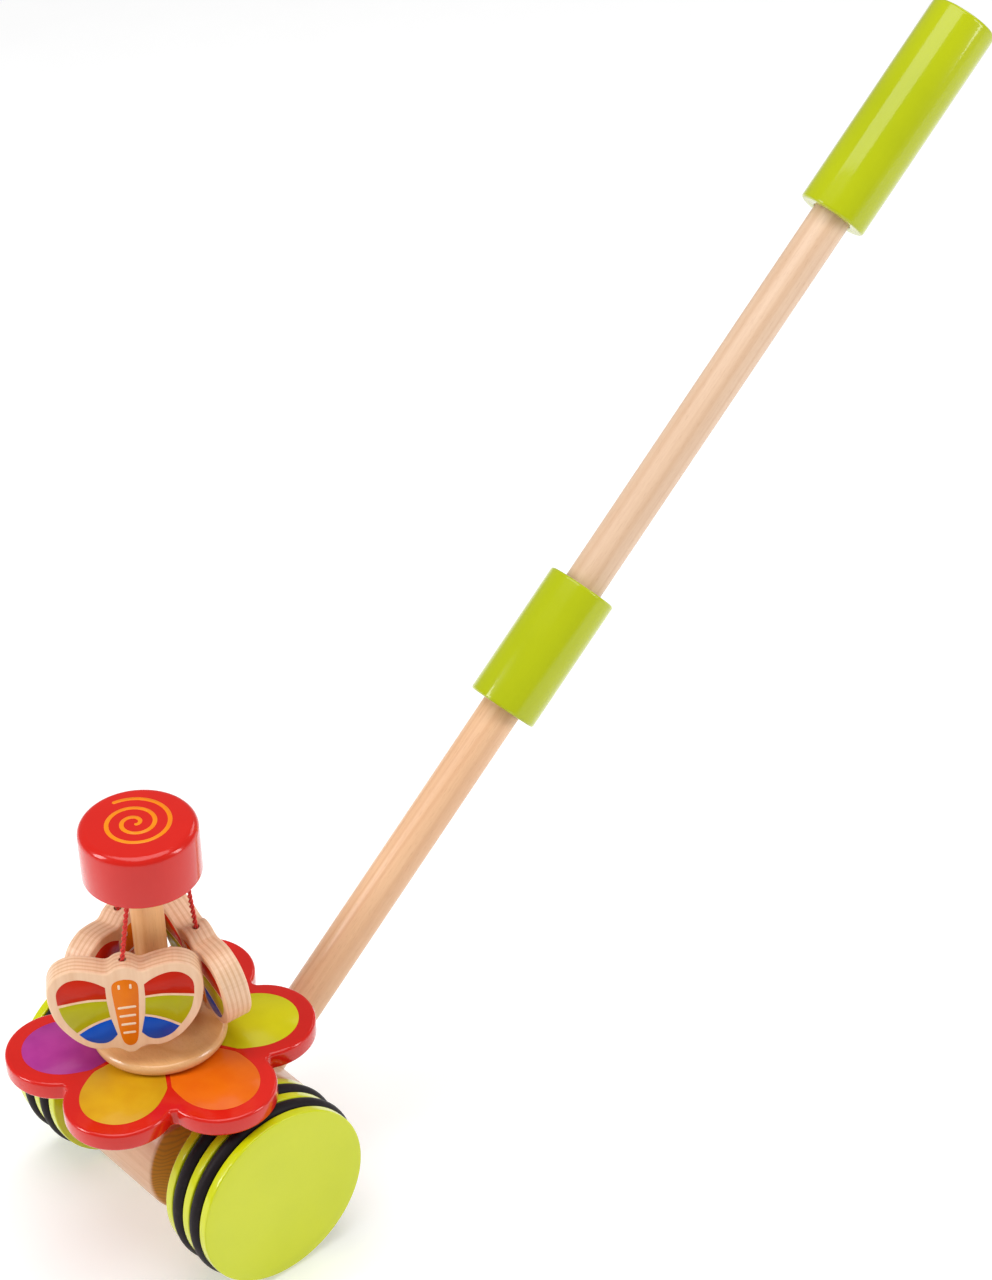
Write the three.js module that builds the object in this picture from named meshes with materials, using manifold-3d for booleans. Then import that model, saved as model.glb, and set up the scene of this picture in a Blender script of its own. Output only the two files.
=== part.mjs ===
// Wooden push-along toy. A flower disc rides on the rubber rings of two wheels, so it turns
// as the toy is pushed, and three butterflies hang on cords from the cap of its post.
// Millimetres, +Z up. The toy travels towards -Y, the wheels turn about X, and the handle
// rises towards +Y.
import * as THREE from "three";
import { mergeVertices } from "three/addons/utils/BufferGeometryUtils.js";
import Module from "manifold-3d";

const wasm = await Module();
wasm.setup();

// ---- Driving dimensions -------------------------------------------------------------
const GAP = 0.3; // between pieces that touch
const RIM_SIDES = 32; // facets of the large turned pieces
const ROD_SIDES = 16; // facets of the slim ones
const HOLE_SIDES = 12; // facets of the cords' holes
const PLATE_POINTS = 44; // points round a butterfly's outline

const wheel = {
  radius: 41.4,
  innerFace: 41.0, // distance of the wheel's inner face from the middle of the toy
  disc: 4.4, // thickness of each of the three discs
  groove: 7.3,
  grooveRadius: 36.3,
  edge: 0.6,
  axleY: 8.9, // the axle lies behind the flower's post
};
const ring = { section: 3.1, centreRadius: 39.7, sides: 8 };
const axle = { radius: 4, halfLength: 58, boreRadius: 4.4 };
const spacer = { radius: 10, edge: 0.8 };
const block = {
  halfWidth: 26.9,
  top: 24.7,
  frontRadius: 28.4,
  frontY: -1.6,
  frontZ: 3.5,
  rearRadius: 18.6,
  edge: 1.5,
};
const handle = {
  angle: THREE.MathUtils.degToRad(40.6), // above the horizontal
  footY: 44.9, // where its axis would meet the height of the axle
  rodRadius: 9,
  rodEdge: 0.8,
  socket: 9.4,
  blockFace: 10.7, // the rest are distances along the axis from that foot
  start: -14,
  collarFrom: 194.1,
  joint: 226,
  collarTo: 257.9,
  gripFrom: 453.1,
  rodEnd: 537.5,
  gripTo: 558.1,
  collarRadius: 16.1,
  gripRadius: 16.0,
  edge: 1.5,
};
const flower = {
  bottom: 43.1,
  thickness: 8.5,
  petals: 6,
  petalRadius: 23.5,
  petalCentre: 42.6,
  edge: 1.2,
};
const post = { radius: 7, hole: 7.35, top: 152, boreRadius: 3.5, boreTop: 122 };
const hub = { radius: 28.8, rim: 5.6, rise: 9.8 };
const cap = {
  radius: 25,
  bottom: 139.6,
  height: 24.8,
  topEdge: 3.6,
  bottomEdge: 0.8,
  cordCircle: 17, // radius of the circle that the cords' holes lie on
  cordHole: 1.9,
  cordHoleDepth: 7,
};
const pivot = { radius: 3, bottom: 8, top: 120, bossRadius: 12, washerRadius: 11, washer: 1.3 };
const butterfly = { thickness: 11.5, edge: 0.9, holeRadius: 1.6, holeDepth: 6 };
const cord = { radius: 1.1, sides: 8 };

// Right half of a butterfly's outline from its top middle, which is also its hanging point.
const WING = [
  [0, 0], [3.4, -0.8], [7.2, -2.9], [13.2, -1.2], [20.8, 0.1], [27.6, -2.2], [31.3, -7], [32.3, -13],
  [31, -21.8], [28.2, -28.8], [22.9, -36], [17.4, -40.4], [12, -42.2], [7.6, -41.9], [4.4, -42.7],
  [2, -44.5], [0, -45],
];

// Each butterfly: the bearing of its cord's hole in the cap, then where it hangs, the bearing
// that its outer face looks along, and how far its lower end stands out.
const HANGINGS = [
  { name: "front", holeBearing: -57, bearing: -65.3, radius: 22.4, z: 109.9, face: -34.3, lean: 1.5 },
  { name: "right", holeBearing: 63, bearing: 64.3, radius: 19.5, z: 105.5, face: 79.1, lean: 8.8 },
  { name: "left", holeBearing: 183, bearing: 178.4, radius: 23.9, z: 105.3, face: 199.4, lean: 3.3 },
];

// ---- Materials ----------------------------------------------------------------------
const finish = (color, roughness, metalness = 0) =>
  new THREE.MeshStandardMaterial({ color, roughness, metalness });
const naturalWood = finish("#e9c79c", 0.45);
const plywood = finish("#ecd0a6", 0.5);
const limePaint = finish("#b5d21f", 0.25);
const redPaint = finish("#dd2b23", 0.22);
const blackRubber = finish("#241d24", 0.6);
const redCord = finish("#cf2218", 0.8);
const steel = finish("#a8abb0", 0.35, 1);
const greyPlastic = finish("#c9cac6", 0.5);

// ---- Geometry helpers ---------------------------------------------------------------
function toSolid(geometry) {
  const bare = geometry.clone();
  bare.deleteAttribute("normal");
  bare.deleteAttribute("uv");
  const merged = mergeVertices(bare, 1e-4);
  const mesh = new wasm.Mesh({
    numProp: 3,
    vertProperties: new Float32Array(merged.attributes.position.array),
    triVerts: new Uint32Array(merged.index.array),
  });
  return new wasm.Manifold(mesh);
}

function toGeometry(solid) {
  const mesh = solid.getMesh();
  const geometry = new THREE.BufferGeometry();
  geometry.setAttribute("position", new THREE.BufferAttribute(mesh.vertProperties, 3));
  geometry.setIndex(new THREE.BufferAttribute(mesh.triVerts, 1));
  geometry.computeVertexNormals();
  return geometry;
}

function cut(geometry, ...tools) {
  let solid = toSolid(geometry);
  for (const tool of tools) {
    solid = solid.subtract(toSolid(tool));
  }
  return toGeometry(solid);
}

// A turned piece about its own Z axis, from [radius, height] points listed from bottom to top.
function turned(profile, sides) {
  const points = profile.map(([radius, height]) => new THREE.Vector2(radius, height));
  return new THREE.LatheGeometry(points, sides).rotateX(Math.PI / 2);
}

// Points of a quarter circle in a profile, from one angle to another about a centre.
function quarter(centreRadius, centreHeight, radius, from, to, steps = 2) {
  return Array.from({ length: steps + 1 }, (_, i) => {
    const angle = from + ((to - from) * i) / steps;
    return [centreRadius + radius * Math.cos(angle), centreHeight + radius * Math.sin(angle)];
  });
}

// A rod between two heights of its own Z axis, with rounded end edges.
function rod(radius, from, to, edge, sides = ROD_SIDES) {
  const low = quarter(radius - edge, from + edge, edge, -Math.PI / 2, 0);
  const high = quarter(radius - edge, to - edge, edge, 0, Math.PI / 2);
  return turned([[0, from], ...low, ...high, [0, to]], sides);
}

function bore(radius, from, to, sides = ROD_SIDES) {
  return new THREE.CylinderGeometry(radius, radius, to - from, sides)
    .rotateX(Math.PI / 2)
    .translate(0, 0, (from + to) / 2);
}

// A point at a bearing from the post's axis, counted from +X towards +Y.
function atBearing(degrees, radius, z) {
  const angle = THREE.MathUtils.degToRad(degrees);
  return new THREE.Vector3(radius * Math.cos(angle), radius * Math.sin(angle), z);
}

const toy = new THREE.Group();

function piece(name, geometry, material, parent = toy) {
  const mesh = new THREE.Mesh(geometry, material);
  mesh.name = name;
  parent.add(mesh);
  return mesh;
}

// ---- Body block ---------------------------------------------------------------------
// Its side outline is drawn in Y and Z, and the block is that outline swept along X.
const handleDirection = new THREE.Vector2(Math.cos(handle.angle), Math.sin(handle.angle));
const handleFoot = new THREE.Vector2(handle.footY, 0);

function blockOutline() {
  const { top, frontRadius, frontY, frontZ, rearRadius } = block;
  const bottom = frontZ - frontRadius;
  const topAngle = Math.PI - Math.asin((top - frontZ) / frontRadius);
  const face = handleFoot.clone().addScaledVector(handleDirection, handle.blockFace);
  const down = new THREE.Vector2(handleDirection.y, -handleDirection.x);
  const topOfFace = face.clone().addScaledVector(down, (face.y - top) / -down.y);
  const rearZ = bottom + rearRadius;
  const contactZ = rearZ + rearRadius * handleDirection.y;
  const lowOfFace = face.clone().addScaledVector(down, (face.y - contactZ) / -down.y);
  const rearY = lowOfFace.x - rearRadius * handleDirection.x;

  const outline = new THREE.Shape();
  outline.moveTo(topOfFace.x, topOfFace.y);
  outline.absarc(frontY, frontZ, frontRadius, topAngle, 1.5 * Math.PI, false);
  outline.absarc(rearY, rearZ, rearRadius, -Math.PI / 2, handle.angle, false);
  outline.closePath();
  const axleHole = new THREE.Path();
  axleHole.absarc(wheel.axleY, 0, axle.boreRadius + block.edge, 0, 2 * Math.PI, true);
  outline.holes.push(axleHole);
  return outline;
}

const alongX = new THREE.Matrix4().makeBasis(
  new THREE.Vector3(0, 1, 0),
  new THREE.Vector3(0, 0, 1),
  new THREE.Vector3(1, 0, 0),
);
const handleTurn = Math.PI / 2 - handle.angle;

function onHandle(geometry) {
  return geometry.rotateX(-handleTurn).translate(0, handle.footY, 0);
}

const blockBlank = new THREE.ExtrudeGeometry(blockOutline(), {
  depth: 2 * (block.halfWidth - block.edge),
  curveSegments: 8,
  bevelSize: block.edge,
  bevelOffset: -block.edge,
  bevelThickness: block.edge,
  bevelSegments: 1,
}).translate(0, 0, block.edge - block.halfWidth);
blockBlank.applyMatrix4(alongX);
const handleSocket = onHandle(bore(handle.socket, handle.start - GAP, handle.blockFace + 40));
const pinSocket = bore(pivot.radius + GAP, pivot.bottom - GAP, block.top + 5);
piece("body_block", cut(blockBlank, handleSocket, pinSocket), naturalWood);

// ---- Wheels, rubber rings and axle --------------------------------------------------
// A wheel's profile runs from its inner face to its outer one, along the axle.
function wheelProfile() {
  const { radius, disc, groove, grooveRadius, edge } = wheel;
  const pitch = disc + groove;
  const width = 3 * disc + 2 * groove;
  const small = edge / 2;
  const profile = [[0, 0]];
  for (const [start, lowEdge, highEdge] of [
    [0, edge, small],
    [pitch, small, small],
    [2 * pitch, small, edge],
  ]) {
    if (start > 0) {
      profile.push([grooveRadius, start]);
    }
    profile.push(...quarter(radius - lowEdge, start + lowEdge, lowEdge, -Math.PI / 2, 0, 1));
    profile.push(...quarter(radius - highEdge, start + disc - highEdge, highEdge, 0, Math.PI / 2, 1));
    if (start < 2 * pitch) {
      profile.push([grooveRadius, start + disc]);
    }
  }
  profile.push([0, width]);
  return profile;
}

const wheelWidth = 3 * wheel.disc + 2 * wheel.groove;
const axleHole = bore(axle.boreRadius, -1, axle.halfLength + GAP - wheel.innerFace);
const spacerLength = wheel.innerFace - block.halfWidth - 2 * GAP;

for (const [side, sign] of [["right", 1], ["left", -1]]) {
  const end = new THREE.Group();
  end.position.set(sign * wheel.innerFace, wheel.axleY, 0);
  end.rotation.y = (sign * Math.PI) / 2;
  toy.add(end);
  piece(`wheel_${side}`, cut(turned(wheelProfile(), RIM_SIDES), axleHole), limePaint, end);
  for (const [place, index] of [["inner", 0], ["outer", 1]]) {
    const loop = new THREE.TorusGeometry(ring.centreRadius, ring.section, ring.sides, RIM_SIDES);
    const band = piece(`rubber_ring_${side}_${place}`, loop, blackRubber, end);
    band.position.z = wheel.disc + wheel.groove / 2 + index * (wheel.disc + wheel.groove);
  }
  const sleeveBlank = rod(spacer.radius, 0, spacerLength, spacer.edge);
  const tube = cut(sleeveBlank, bore(axle.boreRadius, -1, spacerLength + 1));
  const sleeve = piece(`axle_spacer_${side}`, tube, naturalWood, end);
  sleeve.position.z = -spacerLength - GAP;
}

const axleRod = rod(axle.radius, -axle.halfLength, axle.halfLength, 0.5);
const axleMesh = piece("axle", axleRod, steel);
axleMesh.position.y = wheel.axleY;
axleMesh.rotation.y = Math.PI / 2;

// ---- Handle -------------------------------------------------------------------------
function handlePiece(name, geometry, material) {
  piece(name, onHandle(geometry), material);
}

const lowerRod = rod(handle.rodRadius, handle.start, handle.joint - GAP / 2, handle.rodEdge);
const upperRod = rod(handle.rodRadius, handle.joint + GAP / 2, handle.rodEnd, handle.rodEdge);
handlePiece("handle_rod_lower", lowerRod, naturalWood);
handlePiece("handle_rod_upper", upperRod, naturalWood);
const collarBlank = rod(handle.collarRadius, handle.collarFrom, handle.collarTo, handle.edge, RIM_SIDES);
const collarBore = bore(handle.socket, handle.collarFrom - 1, handle.collarTo + 1);
handlePiece("handle_collar", cut(collarBlank, collarBore), limePaint);
const gripBlank = rod(handle.gripRadius, handle.gripFrom, handle.gripTo, handle.edge, RIM_SIDES);
const gripBore = bore(handle.socket, handle.gripFrom - 1, handle.rodEnd + GAP);
handlePiece("handle_grip", cut(gripBlank, gripBore), limePaint);

// ---- Pivot under the flower ---------------------------------------------------------
const bossBottom = block.top + GAP;
const washerTop = flower.bottom - GAP;
const bossTop = washerTop - pivot.washer - GAP;
const pinClearance = pivot.radius + 0.4;
piece("pivot_pin", rod(pivot.radius, pivot.bottom, pivot.top, 0.6), steel);
const boss = rod(pivot.bossRadius, bossBottom, bossTop, 1);
piece("pivot_boss", cut(boss, bore(pinClearance, bossBottom - 1, bossTop + 1)), naturalWood);
const washer = rod(pivot.washerRadius, washerTop - pivot.washer, washerTop, 0.3);
piece("pivot_washer", cut(washer, bore(pinClearance, washerTop - 5, washerTop + 1)), greyPlastic);

// ---- Flower, hub, post and cap ------------------------------------------------------
function flowerOutline() {
  const { petals, petalRadius, petalCentre } = flower;
  const step = (2 * Math.PI) / petals;
  const half = step / 2;
  // Angle, seen from a petal's centre, at which its arc meets the next petal's.
  const meet = half + Math.asin((petalCentre * Math.sin(half)) / petalRadius);
  const outline = new THREE.Shape();
  for (let i = 0; i < petals; i += 1) {
    const bearing = i * step;
    const x = petalCentre * Math.cos(bearing);
    const y = petalCentre * Math.sin(bearing);
    outline.absarc(x, y, petalRadius, bearing - meet, bearing + meet, false);
  }
  outline.closePath();
  return outline;
}

const flowerTop = flower.bottom + flower.thickness;
const disc = new THREE.ExtrudeGeometry(flowerOutline(), {
  depth: flower.thickness - 2 * flower.edge,
  curveSegments: 7,
  bevelSize: flower.edge,
  bevelOffset: -flower.edge,
  bevelThickness: flower.edge,
  bevelSegments: 1,
}).translate(0, 0, flower.bottom + flower.edge);
piece("flower_disc", cut(disc, bore(post.hole, flower.bottom - 1, flowerTop + 1)), redPaint);

const hubBottom = flowerTop + GAP;
const rimRound = hub.rim / 2;
const hubBlank = turned(
  [
    [0, hubBottom],
    ...quarter(hub.radius - rimRound, hubBottom + rimRound, rimRound, -Math.PI / 2, Math.PI / 2, 5),
    [hub.radius * 0.72, hubBottom + hub.rise * 0.78],
    [hub.radius * 0.5, hubBottom + hub.rise * 0.93],
    [0, hubBottom + hub.rise],
  ],
  RIM_SIDES,
);
piece("hub", cut(hubBlank, bore(post.hole, hubBottom - 1, hubBottom + hub.rise + 1)), naturalWood);

const postBlank = rod(post.radius, flower.bottom, post.top, 0.8);
piece("post", cut(postBlank, bore(post.boreRadius, flower.bottom - 1, post.boreTop)), naturalWood);

const capTop = cap.bottom + cap.height;
const capBlank = turned(
  [
    [0, cap.bottom],
    ...quarter(cap.radius - cap.bottomEdge, cap.bottom + cap.bottomEdge, cap.bottomEdge, -Math.PI / 2, 0, 1),
    ...quarter(cap.radius - cap.topEdge, capTop - cap.topEdge, cap.topEdge, 0, Math.PI / 2, 3),
    [0, capTop],
  ],
  RIM_SIDES,
);
const cordHoles = HANGINGS.map(({ holeBearing }) => {
  const hole = bore(cap.cordHole, cap.bottom - 1, cap.bottom + cap.cordHoleDepth, HOLE_SIDES);
  const { x, y } = atBearing(holeBearing, cap.cordCircle, 0);
  return hole.translate(x, y, 0);
});
piece("cap", cut(capBlank, bore(post.hole, cap.bottom - 1, post.top + GAP), ...cordHoles), redPaint);

// ---- Butterflies and their cords ----------------------------------------------------
function butterflyGeometry() {
  const { thickness, edge, holeRadius, holeDepth } = butterfly;
  const mirrored = WING.slice(1, -1).map(([x, y]) => [-x, y]).reverse();
  const loop = [...WING, ...mirrored].map(([x, y]) => new THREE.Vector3(x, y, 0));
  const curve = new THREE.CatmullRomCurve3(loop, true, "centripetal");
  const points = curve.getPoints(PLATE_POINTS).slice(0, -1);
  const outline = new THREE.Shape(points.map(({ x, y }) => new THREE.Vector2(x, y)));
  const plate = new THREE.ExtrudeGeometry(outline, {
    depth: thickness - 2 * edge,
    bevelSize: edge,
    bevelOffset: -edge,
    bevelThickness: edge,
    bevelSegments: 1,
  }).translate(0, 0, edge - thickness / 2);
  const hole = new THREE.CylinderGeometry(holeRadius, holeRadius, 2 * holeDepth, HOLE_SIDES);
  return cut(plate, hole);
}

// The plate's own Y is up and its Z is the outer face: it turns to its bearing, then leans.
function hangButterfly({ name, bearing, radius, z, face, lean }) {
  const mesh = piece(`butterfly_${name}`, butterflyGeometry(), plywood);
  mesh.position.copy(atBearing(bearing, radius, z));
  mesh.rotation.set(Math.PI / 2, 0, 0);
  mesh.rotateY(Math.PI / 2 + THREE.MathUtils.degToRad(face));
  mesh.rotateX(-THREE.MathUtils.degToRad(lean));
}

// A cord has round ends, one at the mouth of its hole in the cap and one at the butterfly's.
// It swings about the centre of its upper end, so that end stays inside the cap's hole.
function hangCord({ name, holeBearing, bearing, radius, z }) {
  const top = atBearing(holeBearing, cap.cordCircle, cap.bottom);
  const foot = atBearing(bearing, radius, z);
  const length = top.distanceTo(foot);
  const capsule = new THREE.CapsuleGeometry(cord.radius, length, 2, cord.sides);
  const mesh = piece(`cord_${name}`, capsule, redCord);
  mesh.position.copy(top.clone().add(foot).multiplyScalar(0.5));
  mesh.quaternion.setFromUnitVectors(new THREE.Vector3(0, 1, 0), top.sub(foot).normalize());
}

HANGINGS.forEach(hangButterfly);
HANGINGS.forEach(hangCord);

// ---- Stand the toy on the origin ----------------------------------------------------
toy.updateMatrixWorld(true);
const bounds = new THREE.Box3().setFromObject(toy, true);
const middle = bounds.getCenter(new THREE.Vector3());
toy.position.set(-middle.x, -middle.y, -bounds.min.z);

export default toy;
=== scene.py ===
"""Looks of a wooden push-along toy: a flower disc that turns on the rubber rings of two
wheels, three butterflies on cords, and a long two-part handle. Metres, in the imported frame."""
import math

import bmesh
import bpy
from mathutils import Matrix, Vector


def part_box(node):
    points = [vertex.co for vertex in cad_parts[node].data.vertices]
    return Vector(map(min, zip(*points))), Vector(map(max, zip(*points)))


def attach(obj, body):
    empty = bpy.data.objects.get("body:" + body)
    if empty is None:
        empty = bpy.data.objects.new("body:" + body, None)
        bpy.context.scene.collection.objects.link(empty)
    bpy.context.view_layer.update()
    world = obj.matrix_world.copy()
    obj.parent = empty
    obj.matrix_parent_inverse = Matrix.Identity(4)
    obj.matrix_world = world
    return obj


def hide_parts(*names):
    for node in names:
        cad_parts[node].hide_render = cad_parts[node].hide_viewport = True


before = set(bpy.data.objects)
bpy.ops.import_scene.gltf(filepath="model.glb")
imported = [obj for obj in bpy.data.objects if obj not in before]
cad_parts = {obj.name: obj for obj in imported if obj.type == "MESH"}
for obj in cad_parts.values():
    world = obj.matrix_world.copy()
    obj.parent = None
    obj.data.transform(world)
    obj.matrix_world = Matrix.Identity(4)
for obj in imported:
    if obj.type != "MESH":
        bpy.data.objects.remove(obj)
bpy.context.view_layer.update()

MM = 0.001

# ---- Places taken from the frame ------------------------------------------------------


def centre_of(node):
    low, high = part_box(node)
    return (low + high) / 2


POST_XY = centre_of("post")
AXLE = centre_of("axle")
HUB_POINT = Vector((POST_XY.x, POST_XY.y, AXLE.z))  # post axis at the axle's height


def from_hub(x, y, z):
    """A point given in millimetres from the post's axis at the axle's height."""
    return HUB_POINT + Vector((x, y, z)) * MM


# ---- Dimensions, in millimetres ---------------------------------------------------------
# They repeat the frame's solids, but some edges are rounded a little differently here.
WHEEL = {"radius": 41.4, "inner": 41.0, "disc": 4.4, "groove": 7.3, "floor": 36.3, "edge": 0.7}
RING = {"section": 3.1, "radius": 39.7}
SPACER = {"radius": 10.0, "edge": 0.9}
BLOCK = {"half": 26.9, "top": 24.7, "front_r": 28.4, "front_y": -1.6, "front_z": 3.5,
         "rear_r": 18.6, "edge": 1.5}
AXLE_HOLE = 4.4
PIN = {"block_hole": 3.3, "hole": 3.4, "post_hole": 3.5, "post_depth": 122.0, "boss": 12.0, "washer": 11.0}
FIT_GAP = 0.3  # between pieces that touch
HANDLE = {"angle": math.radians(40.6), "foot": 44.9, "rod": 9.0, "socket": 9.4, "face": 10.7,
          "start": -14.0, "joint": 226.0, "collar": (194.1, 257.9), "grip": (453.1, 558.1),
          "rod_end": 537.5, "collar_r": 16.1, "grip_r": 16.0}
FLOWER = {"bottom": 43.1, "thick": 8.5, "petal_r": 23.5, "petal_c": 42.6, "notch": 2.6}
POST = {"radius": 7.0, "hole": 7.35, "top": 152.0}
HUB = {"radius": 28.8, "rim": 5.6, "rise": 9.8}
CAP = {"radius": 25.0, "bottom": 139.6, "height": 24.8, "top_edge": 3.6, "bottom_edge": 1.0,
       "cord_circle": 17.0, "cord_hole": 1.9, "hole_depth": 7.0}
PLATE = {"thick": 11.5, "edge": 0.9, "hole": 1.6, "hole_depth": 6.0}
CORD = {"radius": 1.1, "strand": 0.6, "lay": 5.6}
PRINT_LIFT = 0.06  # a printed layer stands this far off the surface under it

HANGINGS = {
    "front": {"hole": -57, "hang": (-65.3, 22.4, 109.9), "face": -34.3, "lean": 1.5},
    "right": {"hole": 63, "hang": (64.3, 19.5, 105.5), "face": 79.1, "lean": 8.8},
    "left": {"hole": 183, "hang": (178.4, 23.9, 105.3), "face": 199.4, "lean": 3.3},
}

WING = [
    (0, 0), (3.4, -0.8), (7.2, -2.9), (13.2, -1.2), (20.8, 0.1), (27.6, -2.2), (31.3, -7), (32.3, -13),
    (31, -21.8), (28.2, -28.8), (22.9, -36), (17.4, -40.4), (12, -42.2), (7.6, -41.9), (4.4, -42.7),
    (2, -44.5), (0, -45),
]

# ---- Camera and light -------------------------------------------------------------------


def basis(azimuth, elevation, roll):
    a, e, r = (math.radians(v) for v in (azimuth, elevation, roll))
    back = Vector((math.sin(a) * math.cos(e), -math.cos(a) * math.cos(e), math.sin(e)))
    level = Vector((math.cos(a), math.sin(a), 0))
    upright = back.cross(level)
    right = level * math.cos(r) + upright * math.sin(r)
    up = -level * math.sin(r) + upright * math.cos(r)
    return right, up, back


def make_camera():
    right, up, back = basis(azimuth=51.35, elevation=35.38, roll=-2.49)
    data = bpy.data.cameras.new("camera")
    data.lens = 111.26
    data.sensor_width = 36
    data.clip_end = 20
    camera = bpy.data.objects.new("camera", data)
    bpy.context.scene.collection.objects.link(camera)
    place = HUB_POINT + back * 1.7039 + right * 0.1401 + up * 0.2085
    turn = Matrix((right, up, back)).transposed().to_4x4()
    camera.matrix_world = Matrix.Translation(place) @ turn
    bpy.context.scene.camera = camera


def area_light(name, place, target, size, power, color=(1, 1, 1)):
    data = bpy.data.lights.new(name, "AREA")
    data.shape = "RECTANGLE"
    data.size, data.size_y = size
    data.energy = power
    data.color = color
    lamp = bpy.data.objects.new(name, data)
    lamp.location = place
    lamp.rotation_euler = (Vector(target) - Vector(place)).to_track_quat("-Z", "Y").to_euler()
    bpy.context.scene.collection.objects.link(lamp)


def make_light():
    bpy.context.scene.view_settings.view_transform = "Standard"
    world = bpy.data.worlds.new("studio")
    bpy.context.scene.world = world
    world.use_nodes = True
    background = world.node_tree.nodes["Background"]
    background.inputs["Color"].default_value = (1.0, 1.0, 1.0, 1)
    background.inputs["Strength"].default_value = 0.3
    aim = HUB_POINT + Vector((0, 0.1, 0.1))
    area_light("top", (0.0, -0.2, 2.0), aim, (1.6, 1.6), 23)
    area_light("left", (-0.6, -1.5, 0.95), aim, (0.45, 0.9), 13)
    area_light("right", (1.25, 0.75, 0.85), aim, (0.4, 0.9), 9)
    area_light("back", (-0.3, 1.7, 1.3), aim, (0.9, 0.6), 4)


def make_floor():
    bpy.ops.mesh.primitive_plane_add(size=12, location=(0, 0, 0))
    floor = bpy.context.object
    floor.name = "floor"
    paper = plain("floor_paper", (0.9, 0.9, 0.9), 0.9)
    shader = paper.node_tree.nodes["Principled BSDF"]
    shader.inputs["Emission Color"].default_value = (1, 1, 1, 1)
    shader.inputs["Emission Strength"].default_value = 0.25
    floor.data.materials.append(paper)


# ---- Materials --------------------------------------------------------------------------


def srgb(r, g, b):
    """Linear colour of an 8-bit display colour."""
    def linear(v):
        v /= 255
        return v / 12.92 if v <= 0.04045 else ((v + 0.055) / 1.055) ** 2.4
    return (linear(r), linear(g), linear(b), 1)


class Tree:
    """A material's node tree, with short calls for adding and joining nodes."""

    def __init__(self, name):
        self.material = bpy.data.materials.new(name)
        self.material.use_nodes = True
        self.nodes = self.material.node_tree.nodes
        self.links = self.material.node_tree.links
        self.shader = self.nodes["Principled BSDF"]

    def add(self, kind, inputs=None, **settings):
        node = self.nodes.new(kind)
        for key, value in settings.items():
            setattr(node, key, value)
        for key, value in (inputs or {}).items():
            self.put(node.inputs[key], value)
        return node

    def put(self, socket, value):
        if isinstance(value, bpy.types.NodeSocket):
            self.links.new(value, socket)
        else:
            socket.default_value = value

    def math(self, operation, a, b=0.0):
        return self.add("ShaderNodeMath", {0: a, 1: b}, operation=operation).outputs[0]

    def mix(self, factor, a, b):
        node = self.add("ShaderNodeMix", data_type="RGBA")
        self.put(node.inputs[0], factor)
        self.put(node.inputs[6], a)
        self.put(node.inputs[7], b)
        return node.outputs[2]

    def coords(self, scale=(1, 1, 1), location=(0, 0, 0)):
        source = self.add("ShaderNodeTexCoord").outputs["Object"]
        node = self.add("ShaderNodeMapping", {
            "Vector": source, "Scale": scale, "Location": location})
        return node.outputs[0]

    def noise(self, vector, scale, detail=3.0, roughness=0.5):
        node = self.add("ShaderNodeTexNoise", {
            "Vector": vector, "Scale": scale, "Detail": detail, "Roughness": roughness})
        return node.outputs["Fac"]

    def ramp(self, factor, stops):
        node = self.add("ShaderNodeValToRGB", {"Fac": factor})
        elements = node.color_ramp.elements
        while len(elements) < len(stops):
            elements.new(0.5)
        for element, (place, color) in zip(elements, stops):
            element.position = place
            element.color = color
        return node.outputs["Color"]

    def span(self, value, low, high, to_low, to_high):
        node = self.add("ShaderNodeMapRange", {
            "Value": value, "From Min": low, "From Max": high, "To Min": to_low, "To Max": to_high})
        return node.outputs["Result"]

    def bump(self, height, strength, distance):
        node = self.add("ShaderNodeBump", {
            "Height": height, "Strength": strength, "Distance": distance})
        self.links.new(node.outputs["Normal"], self.shader.inputs["Normal"])

    def set(self, **values):
        for key, value in values.items():
            self.put(self.shader.inputs[key.replace("_", " ")], value)
        return self.material


def plain(name, color, roughness):
    tree = Tree(name)
    speck = tree.noise(tree.coords(), 30)
    tone = tree.mix(speck, (*[c * 0.97 for c in color], 1), (*color, 1))
    return tree.set(Base_Color=tone, Roughness=roughness)


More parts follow.
